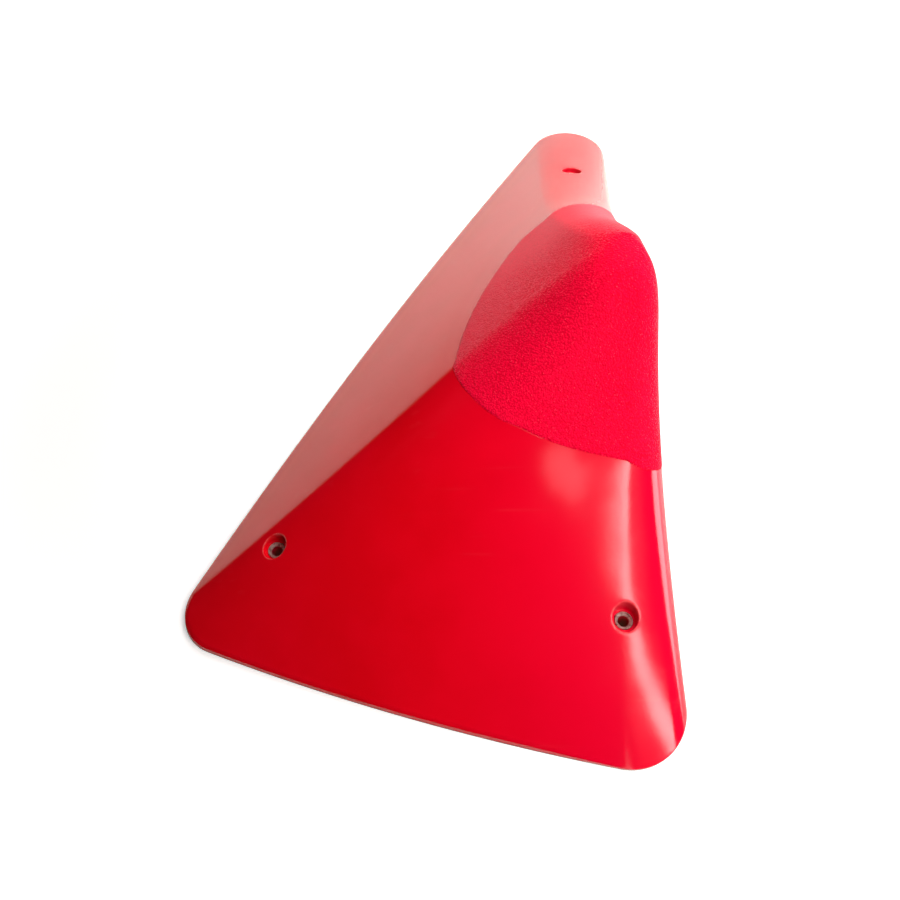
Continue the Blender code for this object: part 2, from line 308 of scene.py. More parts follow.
def apply_modifier(piece, kind, **settings):
    """Adds one modifier, sets it and applies it."""
    alone(piece)
    made = piece.modifiers.new(kind.lower(), kind)
    for key, value in settings.items():
        setattr(made, key, value)
    bpy.ops.object.modifier_apply(modifier=made.name)


# %% [markdown]
# ## The gel coat skin
# The real skin is the first thing that goes into the mould: a thin coat of pigmented
# polyester, glossy because the mould is. It could be the CAD solid shaded smooth, but its
# facets would show in every reflection, so it is pulled up again in fine rings. It starts
# at the wall with a rolled rim: a thin bead on the wall, a shallow groove and a small step,
# which the photograph shows as two pale lines with a dark one between them. The bead fades
# out towards the right corner. Near the peak the skin steps down under the grip zone.

# %% Rings of the skin
rim_profile = [(0, 0, 0), (0, 0, 0.25), (0.10, 0, 0.70), (0.25, 0, 1.10), (0.30, 0, 1.30),
               (0.33, 0, 1.70), (0.45, 0, 2.10), (0.55, 0, 2.40), (0.62, 0, 2.50),
               (0.66, 0.01, 2.65), (0.68, 0.02, 3.10), (0.76, 0.20, 3.60), (0.90, 0.74, 3.95)]
rim_top = share_at(4.1 * mm)
fade_start, fade_run = 40 * mm, 85 * mm
step_inset, under = 0.0016, grip_wall - grip_proud
low_corner, high_corner = np.array(cad_box[0][:2]), np.array(cad_box[1][:2])


def rim_ring(inset, height, plain=None):
    """A ring of the rim, at a share of the way in from the wall's outline to the slope."""
    foot, slope = surface.ring(1.0)[:, :2], surface.ring(rim_top)[:, :2]
    foot = np.clip(foot, low_corner, high_corner)
    if plain is not None:
        fade = np.clip((foot[:, 0] - fade_start) / fade_run, 0, 1)[:, None]
        inset = inset + (plain - inset) * fade * fade * (3 - 2 * fade)
    return np.column_stack([foot + (slope - foot) * inset, np.full(len(foot), height)])


skin_rings = [rim_ring(bead, height * mm, plain) for bead, plain, height in rim_profile]
for t in [*np.linspace(0, 0.985, 60), 0.9975, 1]:
    skin_rings.append(surface.ring(rim_top + (surface.edge - rim_top) * t))
skin_rings.append(surface.ring(surface.edge - step_inset, -under))
for t in np.linspace(0.03, 0.985, 26):
    skin_rings.append(surface.ring((surface.edge - step_inset) * (1 - t), -under))
skin = pull_up("gel_coat", skin_rings)
face_outwards(skin)
print("skin:", len(skin.data.vertices), "points before the cups")

# %% [markdown]
# ## The screw cups
# A wood screw's head sinks into a moulded cup, whose mouth turns over in a soft lip. Each
# cup is cut round with a cylinder while the skin has a temporary floor. Then the walls that
# the cut left are deleted, and the rim of the hole is extruded inwards: over the lip, down
# the tapered wall and across the floor to the ferrule. Extruding from the cut keeps every
# reflection unbroken across the lip, which a plain Boolean cup can't do.

# %% Sizes of the cups
screws = {"left": (-101.7, -157.9), "right": (114.1, -210.3), "tail": (118.6, 166.7)}
screws = {side: np.array(place) * mm - origin for side, place in screws.items()}
cup_radius, cup_draft, cup_depth = 7.2 * mm, math.radians(4.5), 7.0 * mm
lip, seat_gap = 1.4 * mm, 0.3 * mm
lip_profile = [(0.35, 0.015), (0.70, 0.05), (0.90, 0.10), (1.08, 0.19), (1.22, 0.33),
               (1.33, 0.53), (1.40, 0.80)]
ferrule_radius, ferrule_length, ferrule_proud = 5.45 * mm, 4.5 * mm, 0.6 * mm
bore_radius, sleeve_radius = 3.3 * mm, cup_radius + skin_wall
mouth_radius = cup_radius + math.tan(cup_draft) * cup_depth
hole_radius = mouth_radius + lip
round_steps, above_all = 72, 0.3

shown = skin.data
tree = BVHTree.FromPolygons([v.co.copy() for v in shown.vertices],
                            [tuple(p.vertices) for p in shown.polygons])


def surface_height(x, y):
    """The height of the skin over a place on the wall, as it was before the cups."""
    hit = tree.ray_cast(Vector((x, y, 1.0)), Vector((0, 0, -1)))[0]
    return hit.z


cup_floor = {side: surface_height(*place) - cup_depth for side, place in screws.items()}
print("cup floors in mm:", {side: round(z / mm, 1) for side, z in cup_floor.items()})


# %% Cut a round hole in the skin
def close_the_back(piece):
    """Fills the lowest ring with one face."""
    edit(piece, "DESELECT")
    select_open_edges(piece)
    bpy.ops.mesh.edge_face_add()
    bpy.ops.object.mode_set(mode="OBJECT")


def cut_round(piece, place, radius, low):
    """Cuts a round hole straight up, from a height to above everything."""
    clear_selection()
    bpy.ops.mesh.primitive_cylinder_add(
        vertices=round_steps, radius=radius, depth=above_all - low,
        location=(place[0], place[1], (low + above_all) / 2))
    cutter = bpy.context.object
    apply_modifier(piece, "BOOLEAN", operation="DIFFERENCE", object=cutter, solver="EXACT")
    bpy.data.objects.remove(cutter, do_unlink=True)


close_the_back(skin)
for side, place in screws.items():
    cut_round(skin, place, hole_radius, cup_floor[side] - 4 * mm)
edit(skin, "DESELECT")
just_inside, floor_corners = hole_radius * 0.9993, 200
bm = bmesh.from_edit_mesh(skin.data)
for face in bm.faces:
    centre = face.calc_center_median()
    away = [math.hypot(centre.x - p[0], centre.y - p[1]) for p in screws.values()]
    face.select_set(min(away) < just_inside or len(face.verts) > floor_corners)
bmesh.update_edit_mesh(skin.data)
print("faces of the cut walls and of the temporary floor:",
      sum(f.select for f in bm.faces))
bpy.ops.mesh.delete(type="FACE")
bpy.ops.object.mode_set(mode="OBJECT")


# %% Extrude each rim into a cup
def cup_rings(side):
    """Radius and drop pairs over the lip, then radius and height pairs down to the seat."""
    over = [(hole_radius - inward * mm, drop * mm) for inward, drop in lip_profile]
    floor, turn = cup_floor[side], 0.9 * mm
    corner = cup_radius + math.tan(cup_draft) * turn
    down = [(None, 0.35), (None, 0.7), (corner, floor + turn)]
    down += [(corner - turn * (1 - math.cos(a)), floor + turn * (1 - math.sin(a)))
             for a in np.radians((22.5, 45, 67.5, 90))]
    inner = ferrule_radius + seat_gap
    down += [(inner + 0.2 * mm, floor), (inner + 0.05 * mm, floor - 0.06 * mm),
             (inner, floor - 0.2 * mm), (inner, floor - 0.6 * mm)]
    return over, down


for side, place in screws.items():
    edit(skin, "DESELECT")
    bpy.ops.mesh.select_mode(type="EDGE")
    select_open_edges(skin, lambda edge: all(
        abs(math.hypot(v.co.x - place[0], v.co.y - place[1]) - hole_radius) < 0.2 * mm
        for v in edge.verts))
    bpy.ops.mesh.remove_doubles(threshold=0.0001)
    over, down = cup_rings(side)
    lip_foot = {}
    for kind, ring in (("over", over), ("down", down)):
        for radius, level in ring:
            bpy.ops.mesh.extrude_region_move()
            bm = bmesh.from_edit_mesh(skin.data)
            for vert in bm.verts:
                if not vert.select:
                    continue
                aim = math.atan2(vert.co.y - place[1], vert.co.x - place[0])
                ray = np.array([math.cos(aim), math.sin(aim)])
                if kind == "over":
                    x, y = place + ray * radius
                    height = surface_height(x, y) - level
                    lip_foot[round(aim, 4)] = height
                elif radius is None:
                    key = min(lip_foot, key=lambda a: abs(a - aim))
                    top, low = lip_foot[key], down[2][1]
                    height = top + (low - top) * level
                    x, y = place + ray * (mouth_radius + (down[2][0] - mouth_radius) * level)
                else:
                    x, y = place + ray * radius
                    height = level
                vert.co = (x, y, height)
            bmesh.update_edit_mesh(skin.data)
    bpy.ops.object.mode_set(mode="OBJECT")
print("skin with cups:", len(skin.data.vertices), "points")

# %% [markdown]
# The skin gets its wall last. Solidify pushes it inwards, and half as far under the grip
# zone, where the recess already took some of the wall.

# %% Give the skin its wall
face_outwards(skin)
zone = skin.vertex_groups.new(name="whole_wall")
edge_ring = surface.ring(surface.edge)
recessed_share, lowest_edge = 0.55, 60 * mm
for vert in skin.data.vertices:
    away = edge_ring[:, :2] - np.array(vert.co[:2])
    k = int(np.argmin((away ** 2).sum(axis=1)))
    inside = vert.co.z > max(edge_ring[k, 2] - 0.2 * mm, lowest_edge)
    zone.add([vert.index], recessed_share if inside else 1.0, "REPLACE")
apply_modifier(skin, "SOLIDIFY", thickness=skin_wall, offset=-1.0, vertex_group="whole_wall")
for vert in skin.data.vertices:
    vert.co.z = max(vert.co.z, 0.0)
alone(skin)
bpy.ops.object.shade_smooth_by_angle(angle=math.radians(30))
heights = [v.co.z for v in skin.data.vertices]
print("skin faces:", len(skin.data.polygons), "from", round(min(heights) / mm, 3), "to",
      round(max(heights) / mm, 2), "mm")

# %% [markdown]
# ## The grip coat
# The sandy zone is sprayed over the peak after the hold leaves its mould, up to a masked
# line, so it has a small step all round and a slightly ragged edge. It is pulled up from
# the same surface with more columns, its edge wanders a little, and a few close rings
# round the step. The grains themselves are about a millimetre across, which a bump in the
# material gives at far less cost than real grains.

# %% Pull up the grip coat
noise.seed_set(7)  # noise_vector would start from the clock, and differ from run to run
fine = Surface(40, 112)


def wander(ring, size, reach):
    """A smooth random value for each point of a ring."""
    return np.array([noise.noise(Vector(p) / size) for p in ring]) * reach


edge_line = fine.ring(fine.edge)
ragged = (fine.edge - 0.0004 + wander(edge_line, 2.2 * mm, 0.0008)
          + wander(edge_line, 9 * mm, 0.0004))
grip_rings = [fine.ring(ragged, -under + 0.05 * mm),
              fine.ring(ragged, grip_proud - 0.18 * mm),
              fine.ring(ragged - 0.0007, grip_proud - 0.04 * mm)]
for t in np.linspace(0.012, 0.99, 64):
    grip_rings.append(fine.ring(ragged * (1 - t) ** 1.1, grip_proud))
lump_size, lump_reach, worn_above = 3.5 * mm, 0.05, 168 * mm
for ring in grip_rings[2:]:
    lumps = np.array([noise.noise_vector(Vector(p) / lump_size) for p in ring])
    ring += lumps * lump_reach * mm
    ring[:, 2] -= np.maximum(ring[:, 2] - worn_above, 0) * 0.10
grip = pull_up("sandy_grip", grip_rings)
face_outwards(grip)
apply_modifier(grip, "SOLIDIFY", thickness=grip_proud, offset=-1.0)
alone(grip)
bpy.ops.object.shade_smooth_by_angle(angle=math.radians(50))
print("grip coat faces:", len(grip.data.polygons))

# %% [markdown]
# ## The laminate behind the skin
# Glass mat and resin are laid into the mould by hand, so the hollow side is never smooth:
# it is lumpy, with the trimmed edge showing at the wall. An inner and an outer shell are
# pulled up, joined with a flat rim on the wall plane, and opened round the screw sleeves.


# %% Pull up the laminate
rim_back = [(0.0, 1.5, 0.0), (0.7, 1.5, 0.12), (1.4, 1.5, 0.27), (1.9, 1.5, 0.35)]


def shell_rings(depth, steps, lumps=0.0, rim=None):
    """Rings of an inner surface at a depth under the skin, which starts on the wall plane."""
    shares = np.linspace(rim_top - 0.002 if rim else 1.0, 0.012, steps)
    stack = np.array([surface.ring(s, -depth) for s in shares])
    if rim:
        foot, slope = rim_ring(0, 0), rim_ring(1, 0)
        run = np.linalg.norm(slope - foot, axis=1)[:, None]
        rows = [foot + (slope - foot) / run * (fixed * mm + part * run) + (0, 0, z * mm)
                for z, fixed, part in rim]
        stack = np.concatenate([rows, stack])
    started = []
    for c in range(surface.columns):
        line = stack[:, c]
        if line[0, 2] > 0:
            line = np.vstack([[line[0, 0], line[0, 1], 0.0], line])
        below = np.nonzero(line[:, 2] <= 0)[0][-1]
        a, b = line[below], line[below + 1]
        t = -a[2] / (b[2] - a[2])
        line = np.vstack([a + (b - a) * t, line[below + 1:]])
        run = np.concatenate([[0], np.cumsum(np.linalg.norm(np.diff(line, axis=0), axis=1))])
        even = np.linspace(0, run[-1], steps)
        started.append(np.column_stack([np.interp(even, run, line[:, i]) for i in range(3)]))
    rings = list(np.array(started).transpose(1, 0, 2))
    if lumps:
        for ring in rings[1:]:
            for k, p in enumerate(ring):
                where = Vector(p)
                lift = noise.fractal(where / (11 * mm), 0.6, 2.0, 3)
                ring[k] = where + noise.noise_vector(where / (17 * mm)) * lift * lumps
    return rings


outer_depth = skin_wall + air
laminate = pull_up("laminate_inside", shell_rings(outer_depth + laminate_wall, 76, 0.5 * mm))
face_outwards(laminate, top_is_up=False)
backing = pull_up("laminate_outside", shell_rings(outer_depth, 70, rim=rim_back))
face_outwards(backing)
alone(backing)
laminate.select_set(True)
bpy.context.view_layer.objects.active = laminate
bpy.ops.object.join()
edit(laminate, "DESELECT")
bpy.ops.mesh.select_mode(type="EDGE")
select_open_edges(laminate)
bpy.ops.mesh.bridge_edge_loops()
bpy.ops.object.mode_set(mode="OBJECT")
laminate.name = laminate.data.name = "laminate"
for side, place in screws.items():
    cut_round(laminate, place, sleeve_radius + air, cup_floor[side] - 16 * mm)
alone(laminate)
bpy.ops.object.shade_smooth_by_angle(angle=math.radians(40))
print("laminate faces:", len(laminate.data.polygons))

# %% [markdown]
# ## Ferrules and posts
# Both are round, so each starts as a short edge that is extruded into half a section and
# then spun about the screw's axis. The steel ferrule has a dished seat with a step, which
# gives the two bright rings of the photograph. The cast resin post flares at its foot and
# carries the load of the screw straight to the wall.


# %% Spin a profile about a screw
def spun(name, profile, place):
    """A closed profile of radius and height pairs, extruded point by point and spun."""
    clear_selection()
    bpy.ops.mesh.primitive_plane_add(size=0.01)
    piece = bpy.context.object
    piece.name = piece.data.name = name
    bpy.ops.object.mode_set(mode="EDIT")
    bpy.ops.mesh.select_mode(type="VERT")
    bpy.ops.mesh.select_all(action="SELECT")
    bpy.ops.mesh.merge(type="CENTER")
    points = [Vector((place[0] + r, place[1], z)) for r, z in profile]
    here = points[0]
    bm = bmesh.from_edit_mesh(piece.data)
    bm.verts.ensure_lookup_table()
    bm.verts[0].co = here
    bmesh.update_edit_mesh(piece.data)
    for there in points[1:]:
        bpy.ops.mesh.extrude_region_move(TRANSFORM_OT_translate={"value": there - here})
        here = there
    bpy.ops.mesh.select_all(action="SELECT")
    bpy.ops.mesh.edge_face_add()
    bpy.ops.mesh.delete(type="ONLY_FACE")
    bpy.ops.mesh.select_all(action="SELECT")
    bpy.ops.mesh.spin(steps=round_steps, angle=math.tau, center=(place[0], place[1], 0.0),
                      axis=(0, 0, 1))
    bpy.ops.mesh.select_all(action="SELECT")
    bpy.ops.mesh.remove_doubles(threshold=0.000004)
    bpy.ops.mesh.normals_make_consistent(inside=False)
    bpy.ops.object.mode_set(mode="OBJECT")
    bpy.ops.object.shade_smooth_by_angle(angle=math.radians(36))
    return piece


# %% The ferrules and the posts
ferrules, posts = [], []
for side, place in screws.items():
    rim = cup_floor[side] + ferrule_proud
    r, b = ferrule_radius / mm, bore_radius / mm
    seat = [(r, -ferrule_length / mm), (r, -0.25), (r - 0.07, -0.08), (r - 0.22, 0.0),
            (r - 0.52, 0.0), (r - 0.68, -0.06), (r - 0.78, -0.22), (r - 0.95, -0.75),
            (r - 1.12, -1.0), (r - 1.32, -1.08), (r - 1.55, -1.1), (r - 1.68, -1.2),
            (b + 0.32, -1.55), (b + 0.12, -1.8), (b + 0.02, -2.1), (b, -2.4),
            (b, -ferrule_length / mm)]
    ferrules.append(spun(side + "_ferrule", [(a * mm, rim + z * mm) for a, z in seat], place))
    top = cup_floor[side] - skin_wall - air
    pocket = rim - ferrule_length - air
    inner, foot = ferrule_radius + seat_gap, 12.5 * mm
    body = [(sleeve_radius - 0.3 * mm, top), (sleeve_radius, top - 0.3 * mm),
            (sleeve_radius + 0.25 * mm, top * 0.72), (sleeve_radius + 0.8 * mm, top * 0.45),
            (sleeve_radius + 1.8 * mm, top * 0.2), (foot - 0.9 * mm, top * 0.07),
            (foot - 0.1 * mm, 0.9 * mm), (foot, 0.4 * mm), (foot - 0.25 * mm, 0.0),
            (bore_radius + 0.5 * mm, 0.0), (bore_radius, 0.5 * mm), (bore_radius, pocket),
            (inner, pocket), (inner, top)]
    posts.append(spun(side + "_post", body, place))
print("ferrules and posts:", [p.name for p in ferrules + posts])

# %% [markdown]
# ## Shader maths
# A finish is a sum of small things: colour drift, grains, scratches, dust. Written as node
# links that sum is hard to read, so a socket is wrapped in a class whose operators add the
# Math nodes, and one method adds every other kind of node.


# %% A socket that can be added and multiplied
class Value:
    """An output socket inside one material, which sums and products can be made of."""

    def __init__(self, finish, socket):
        self.finish, self.socket = finish, socket

    def _math(self, operation, *terms):
        return self.finish.node("ShaderNodeMath", {"operation": operation},
                                dict(enumerate(terms)))

    def __add__(self, other):
        return self._math("ADD", self, other)

    def __radd__(self, other):
        return self._math("ADD", other, self)

    def __sub__(self, other):
        return self._math("SUBTRACT", self, other)

    def __rsub__(self, other):
        return self._math("SUBTRACT", other, self)

    def __mul__(self, other):
        return self._math("MULTIPLY", self, other)

    def __rmul__(self, other):
        return self._math("MULTIPLY", other, self)

    def over(self, low, high):
        """0 below low, 1 above high, and a smooth step between them."""
        return self.finish.node("ShaderNodeMapRange", {"interpolation_type": "SMOOTHSTEP"},
                                {"Value": self, "From Min": low, "From Max": high})


class Finish:
    """A material being mixed: its nodes, and the Principled shader that they feed."""

    def __init__(self, name, **plain):
        self.material = bpy.data.materials.new(name)
        self.material.use_nodes = True
        self.tree = self.material.node_tree
        self.shader = self.tree.nodes["Principled BSDF"]
        for socket, value in plain.items():
            self.shader.inputs[socket.replace("_", " ")].default_value = value
        place = self.tree.nodes.new("ShaderNodeTexCoord")
        self.place = Value(self, place.outputs["Object"])

    def node(self, kind, settings=None, inputs=None, out=0):
        """Adds a node, sets it first, then gives its sockets values or links."""
        made = self.tree.nodes.new(kind)
        for key, value in (settings or {}).items():
            setattr(made, key, value)
        for key, value in (inputs or {}).items():
            if isinstance(value, Value):
                self.tree.links.new(value.socket, made.inputs[key])
            else:
                made.inputs[key].default_value = value
        return Value(self, made.outputs[out])

    def noise(self, scale, detail=2.0, where=None, roughness=0.5, distortion=0.0, out=0):
        return self.node("ShaderNodeTexNoise", None,
                         {"Vector": where or self.place, "Scale": scale, "Detail": detail,
                          "Roughness": roughness, "Distortion": distortion}, out)

    def cells(self, scale, where=None):
        return self.node("ShaderNodeTexVoronoi", None,
                         {"Vector": where or self.place, "Scale": scale})

    def turned(self, angles, scale=(1, 1, 1), location=(0, 0, 0)):
        return self.node("ShaderNodeMapping", None,
                         {"Vector": self.place, "Rotation": angles, "Scale": scale,
                          "Location": location})

    def axis(self, k):
        """How far the place lies along X, Y or Z, for 0, 1 or 2."""
        return self.node("ShaderNodeSeparateXYZ", None, {0: self.place}, out=k)

    def reach_from(self, centre):
        """The level distance of the place from a screw's axis."""
        about = self.turned((0, 0, 0), location=(-centre[0], -centre[1], 0))
        flat = self.node("ShaderNodeVectorMath", {"operation": "MULTIPLY"},
                         {0: about, 1: (1, 1, 0)})
        return self.node("ShaderNodeVectorMath", {"operation": "LENGTH"}, {0: flat}, out=1)

    def mix(self, factor, a, b):
        """A colour mix. A and B are colours or links."""
        full = [v if isinstance(v, Value) else (*v, 1.0) for v in (a, b)]
        return self.node("ShaderNodeMix", {"data_type": "RGBA"},
                         {0: factor, 6: full[0], 7: full[1]}, out=2)

    def bump(self, height, distance, strength=1.0, normal=None):
        inputs = {"Height": height, "Distance": distance, "Strength": strength}
        if normal:
            inputs["Normal"] = normal
        return self.node("ShaderNodeBump", None, inputs)

    def feed(self, **links):
        for socket, value in links.items():
            self.tree.links.new(value.socket, self.shader.inputs[socket.replace("_", " ")])

    def on(self, *pieces):
        for piece in pieces:
            piece.data.materials.clear()
            piece.data.materials.append(self.material)


# %% [markdown]
# ## Glossy gel coat
# Polyester gel coat is deep red, nearly flat in colour, and as smooth as the mould. What
# makes it real is what happened since: faint waves from the laminate shrinking behind it,
# rubbed places that soften the reflection, a few long scuffs and some specks of dust. All
# of them stay weak, because a glossy red shows every mark twice: once in its colour, and
# once in what it mirrors. Light is painted into the colour as well: a pale ring round each
# cup's lip is a painted highlight, the red turns a little towards crimson along X as painted
# light on the window side, and the skin's lowest millimetre is darkened as a painted shadow.

# %% Mix the gel coat
gel = Finish("red_gel_coat", IOR=1.5)
drift = gel.noise(13, 3, roughness=0.55).over(0.35, 0.65)
colour = gel.mix(drift, (0.74, 0.0002, 0.0065), (0.80, 0.0005, 0.0100))


def scuffs(finish, angles, width, keep):
    """Long soft rub marks: noise drawn out along one direction, of which little is kept."""
    along = finish.turned(angles, (0.04, 1.0, 1.0))
    line = finish.noise(width, 2, where=along, roughness=0.4)
    few = finish.noise(9, 2, where=finish.turned(angles)).over(keep, keep + 0.1)
    return line.over(0.62, 0.70) * few


rubs = scuffs(gel, (0.2, 0.3, 0.75), 210, 0.58) + scuffs(gel, (0.6, -0.3, 2.2), 330, 0.62)
smudge = gel.noise(26, 4, roughness=0.6).over(0.48, 0.75)
dust = (1 - gel.cells(420).over(0.02, 0.07)) * gel.noise(70, 1).over(0.62, 0.68)
# painted contact shadow: the lowest millimetre of the skin is darkened almost to black red
painted_foot_shadow = 1 - gel.axis(2).over(0.0003, 0.0012)
# painted light: the red is shifted bluer towards the lit window side along X
lit_side_crimson = gel.axis(0).over(-0.02, 0.13)
# painted highlight: a pale ring on each cup's lip, mixed into the colour; it also dulls the
# gloss there
painted_lip_ring = 0.0
for place in screws.values():
    reach = gel.reach_from(place)
    painted_lip_ring = painted_lip_ring + reach.over(0.0075, 0.0083) * (1 - reach.over(0.0083, 0.0090))
painted_lip_ring = painted_lip_ring * gel.noise(300, 2).over(0.25, 0.6)
colour = gel.mix(lit_side_crimson, colour, (0.80, 0.0004, 0.024))
colour = gel.mix(painted_lip_ring * 0.16, colour, (0.92, 0.42, 0.38))
colour = gel.mix(rubs * 0.02, colour, (0.80, 0.22, 0.20))
colour = gel.mix(dust * 0.10, colour, (0.80, 0.42, 0.38))
colour = gel.mix(painted_foot_shadow * 0.9, colour, (0.12, 0.003, 0.008))
waves = gel.noise(19, 2, roughness=0.4)
peel = gel.noise(240, 2)
relief = gel.bump(waves, 0.0004)
relief = gel.bump(peel, 0.000008, normal=relief)
dulled = 0.105 + smudge * 0.03 + rubs * 0.015 + dust * 0.15 + painted_foot_shadow * 0.3 + painted_lip_ring * 0.2
gel.feed(Base_Color=colour, Roughness=dulled, Normal=relief)
gel.on(skin)
print("gel coat nodes:", len(gel.tree.nodes))

# %% [markdown]
# ## Sandy grip
# Silica grains thrown into wet paint, then painted over: dense low domes of about a
# millimetre, all in one crimson, with crowns that are rubbed paler and painted shade that
# darkens the hollows between them. Cells give the domes and a finer set breaks them up, so
# that no pattern repeats. The top near the tail has been handled smooth, so the relief
# fades there, and its colour is lifted to pale pink there as a painted sheen.

# %% Mix the sandy grip
sandy = Finish("sandy_grip", IOR=1.5, Specular_IOR_Level=0.03, Sheen_Weight=0.32,
               Sheen_Roughness=0.3)
warped = sandy.noise(400, 2, out=1)
jitter = sandy.node("ShaderNodeVectorMath", {"operation": "MULTIPLY_ADD"},
                    {0: warped, 1: (0.0008, 0.0008, 0.0008), 2: sandy.place})
grains = sandy.cells(880, where=jitter)
crumbs = sandy.cells(1900, where=jitter)
tallness = sandy.noise(460, 1)
domes = (1 - grains.over(0.0, 0.85)) * (0.5 + tallness) + (1 - crumbs.over(0.0, 0.9)) * 0.3
patchy = sandy.noise(40, 3).over(0.35, 0.7)
smooth_top_and_sheen = sandy.axis(1).over(-0.020, 0.024)
# painted shade: the low ground between the domes is coloured darker than their tops
tone = sandy.mix(domes.over(0.05, 0.7), (0.76, 0.0005, 0.022), (0.94, 0.0015, 0.038))
tone = sandy.mix(patchy * 0.08, tone, (0.92, 0.01, 0.06))
rubbed = domes.over(1.0, 1.35)
# painted sheen: the top towards the tail is lifted to pale pink in the colour; it is also
# smoother there
tone = sandy.mix(rubbed * 0.45 + smooth_top_and_sheen * 0.20, tone, (0.94, 0.12, 0.15))
sandy.feed(Base_Color=tone, Roughness=0.78 - rubbed * 0.2 - smooth_top_and_sheen * 0.15,
           Normal=sandy.bump(domes * (1 - smooth_top_and_sheen * 0.8), 0.00034, 0.85))
sandy.on(grip)
print("sandy grip nodes:", len(sandy.tree.nodes))

# %% [markdown]
# ## Glass-fibre laminate, cast resin and steel
# The hollow side shows chopped strands under resin, stained by the red coat behind them.
# The posts are cast resin with a sanded foot, and the ferrules are turned, zinc plated
# steel whose passivation leaves a faint warm tint.

# %% Mix the laminate
fibre = Finish("glass_fibre_laminate", Roughness=0.35, IOR=1.53)
strands = None
for k, turn in enumerate((0.2, 0.9, 1.55, 2.3, 2.85)):
    along = fibre.turned((0.35 * k, 0.2, turn), (0.07, 1.0, 1.0), (0.013 * k, 0, 0))
    bundle = fibre.noise(420, 2, where=along).over(0.56, 0.66)
    bundle = bundle * fibre.noise(60, 1, where=along).over(0.42, 0.6)
    strands = bundle if strands is None else strands + bundle * (1 - strands)
resin_pools = fibre.noise(40, 3).over(0.4, 0.7)
tone = fibre.mix(resin_pools, (0.36, 0.05, 0.045), (0.22, 0.018, 0.02))
tone = fibre.mix(strands * 0.75, tone, (0.66, 0.30, 0.25))
bubbles = (1 - fibre.cells(420).over(0.05, 0.14)) * fibre.noise(90, 1).over(0.55, 0.6)
tone = fibre.mix(bubbles, tone, (0.72, 0.50, 0.44))
relief = fibre.bump(strands, 0.00030)
relief = fibre.bump(fibre.noise(150, 3), 0.0006, normal=relief)
fibre.feed(Base_Color=tone, Roughness=0.28 + strands * 0.3, Normal=relief)
fibre.on(laminate)

# %% Mix the cast resin
cast = Finish("red_cast_resin", Roughness=0.4, IOR=1.53)
marbled = cast.noise(70, 4, distortion=1.2).over(0.35, 0.7)
tone = cast.mix(marbled, (0.46, 0.008, 0.016), (0.56, 0.014, 0.024))
sanding = cast.noise(900, 2, where=cast.turned((0, 0, 0.6), (0.05, 1.0, 1.0))).over(0.45, 0.7)
foot_face = 1 - cast.axis(2).over(0.0002, 0.0008)
tone = cast.mix(foot_face * (0.35 + sanding * 0.4), tone, (0.55, 0.20, 0.18))
pores = (1 - cast.cells(650).over(0.06, 0.16)) * cast.noise(130, 1).over(0.52, 0.6)
tone = cast.mix(pores, tone, (0.10, 0.002, 0.004))
cast.feed(Base_Color=tone, Roughness=0.36 + foot_face * 0.35 + pores * 0.2,
          Normal=cast.bump(sanding * foot_face * 0.3 + marbled * 0.2 - pores, 0.00012))
cast.on(*posts)

# %% Mix the ferrule steel, one turned pattern about each screw
for ferrule, side in zip(ferrules, screws):
    steel = Finish("zinc_steel_" + side, Metallic=1.0, Roughness=0.3)
    turning = {0: steel.reach_from(screws[side]) * 9000}
    rings = steel.noise(1.0, 2, where=steel.node("ShaderNodeCombineXYZ", None, turning))
    stain = steel.noise(500, 3).over(0.4, 0.7)
    tone = steel.mix(stain, (0.84, 0.66, 0.60), (0.38, 0.23, 0.20))
    pits = (1 - steel.cells(2200).over(0.1, 0.2)) * steel.noise(700, 1).over(0.5, 0.6)
    tone = steel.mix(pits, tone, (0.12, 0.09, 0.07))
    seat = cup_floor[side] + ferrule_proud
    flashed = 1 - steel.axis(2).over(seat - 2.4 * mm, seat - 1.7 * mm)
    tone = steel.mix(flashed, tone, (0.55, 0.002, 0.03))
    steel.feed(Base_Color=tone, Roughness=0.30 + stain * 0.16 + pits * 0.3,
               Metallic=(1 - flashed) * 0.75, Normal=steel.bump(rings - pits, 0.00003))
    steel.on(ferrule)
print("materials:", len(bpy.data.materials))

# %% [markdown]
# ## Put the pieces on the frame
# Each fine piece rides on the part's one body and stands for its CAD node, which is then
# hidden.

# %% Ride and replace
for piece, node, slot in ((skin, "gel_coat_skin", "gloss_gel_coat"),
                          (grip, "grip_coat", "sandy_grip"),
                          (laminate, "laminate_shell", "laminate")):
    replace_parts(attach(piece, "root"), node)
for side, ferrule, post in zip(screws, ferrules, posts):
    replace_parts(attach(ferrule, "root"), side + "_screw_ferrule")
    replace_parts(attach(post, "root"), side + "_screw_post")

# %% [markdown]
# ## Table, light and camera
# The hold lies on a white table in a room that is darker than the table, lit mainly by a
# window behind the camera to the right. A glossy coat mirrors its lamps, so the lamps that
# show in it stand where the photograph's reflections point back to: a slanting strip of the
# window, a far pane, and a pale wall beyond the right edge. Three broad fills give the
# shading and stay out of the reflections. The table's camera-ray lift makes it white while
# it keeps the hold's shadow, and what the gloss mirrors of it is brighter on the window side.

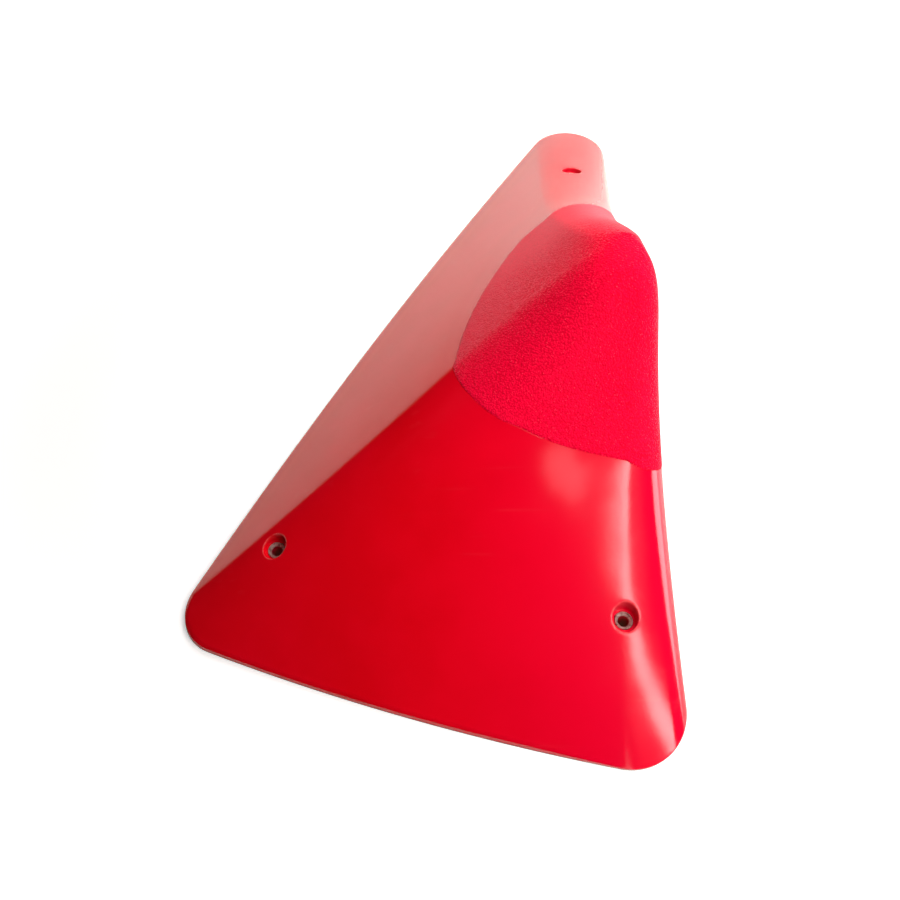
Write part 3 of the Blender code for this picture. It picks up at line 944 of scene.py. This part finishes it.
# %% The table
for leftover in [o for o in bpy.data.objects if o.name in ("Cube", "Light", "Camera")]:
    bpy.data.objects.remove(leftover, do_unlink=True)
bpy.ops.object.select_all(action="DESELECT")
bpy.ops.mesh.primitive_plane_add(size=8.0, location=(0, 0, -0.0002))
table = bpy.context.object
table.name = "table"
white = Finish("white_table", Base_Color=(0.84, 0.83, 0.81, 1.0), Roughness=0.6)
path = white.tree.nodes.new("ShaderNodeLightPath")
seen, mirrored = (Value(white, path.outputs[kind])
                  for kind in ("Is Camera Ray", "Is Glossy Ray"))
away = white.node("ShaderNodeVectorMath", {"operation": "LENGTH"}, {0: white.place}, out=1)
lifted = white.mix(away.over(0.25, 0.55), (0.42, 0.42, 0.43), (1.0, 1.0, 1.0))
rightwards = white.axis(0).over(0.17, 0.40)
sunlit = white.mix(rightwards, (0.16, 0.15, 0.08), (1.30, 1.25, 1.25))
white.feed(Emission_Color=white.mix(mirrored, white.mix(seen, (0, 0, 0), lifted), sunlit))
white.shader.inputs["Emission Strength"].default_value = 1.0
white.on(table)

# %% The room, white to the camera and almost dark to the hold
world = bpy.data.worlds.new("room")
bpy.context.scene.world = world
world.use_nodes = True
room = world.node_tree.nodes["Background"]
room_path = world.node_tree.nodes.new("ShaderNodeLightPath")
lift = world.node_tree.nodes.new("ShaderNodeMath")
lift.operation = "MAXIMUM"
world.node_tree.links.new(room_path.outputs["Is Camera Ray"], lift.inputs[0])
lift.inputs[1].default_value = 0.01
world.node_tree.links.new(lift.outputs[0], room.inputs["Strength"])
room.inputs["Color"].default_value = (1.0, 1.0, 1.0, 1)
print("table and room ready")


# %% The lamps
def soft_lamp(name, place, aim, size, radiance, roll=0.0, colour=(1.0, 0.98, 0.95),
              mirrored=True):
    """A rectangular soft lamp that looks at a point, as bright per area as is asked."""
    bpy.ops.object.light_add(type="AREA", location=place)
    lamp = bpy.context.object
    lamp.name = name
    lamp.visible_glossy = mirrored
    lamp.data.shape = "RECTANGLE"
    lamp.data.size, lamp.data.size_y = size
    lamp.data.energy = radiance * math.pi * size[0] * size[1]
    lamp.data.color = colour
    look = (Vector(aim) - Vector(place)).to_track_quat("-Z", "Y").to_matrix().to_4x4()
    lamp.matrix_world = (Matrix.Translation(place) @ look
                         @ Matrix.Rotation(math.radians(roll), 4, "Z"))


soft_lamp("window_strip", (0.418, -0.599, 0.521), (-0.065, -0.314, 0.311),
          (0.677, 0.040), 10.8, roll=-58.6)
soft_lamp("far_pane", (0.3105, -1.2393, 1.1115), (0.2149, -0.1464, 0.0885),
          (0.137, 0.164), 2.2, roll=-30)
soft_lamp("edge", (1.6, 0.04, 0.25), (0.138, -0.18, 0.05), (1.20, 0.5), 6.5,
          colour=(1.0, 0.97, 1.0))
middle, broad = (0.03, -0.05, 0.05), (0.4, 0.4)
for name, place, radiance in (("near_fill", (0.293, -0.304, 0.464), 5.4),
                              ("far_fill", (0.217, 0.258, 0.466), 5.9),
                              ("left_fill", (-0.234, 0.106, 0.527), 0.9)):
    soft_lamp(name, place, middle, broad, radiance, mirrored=False)

# %% The camera, fitted to the photograph
camera_data = bpy.data.cameras.new("camera")
camera = bpy.data.objects.new("camera", camera_data)
bpy.context.scene.collection.objects.link(camera)
focal_pixels, picture_pixels, sensor_mm = 740, 900, 36
camera_data.sensor_width = sensor_mm
camera_data.lens = focal_pixels / picture_pixels * sensor_mm
camera_data.clip_start, camera_data.clip_end = 0.01, 30
camera_place, look_down, tilt = (0.01138, -0.3481, 0.471), 59.26, -1.30
camera.matrix_world = (Matrix.Translation(camera_place)
                       @ Matrix.Rotation(math.radians(90 - look_down), 4, "X")
                       @ Matrix.Rotation(math.radians(tilt), 4, "Z"))
bpy.context.scene.camera = camera
bpy.context.scene.view_settings.view_transform = "Standard"
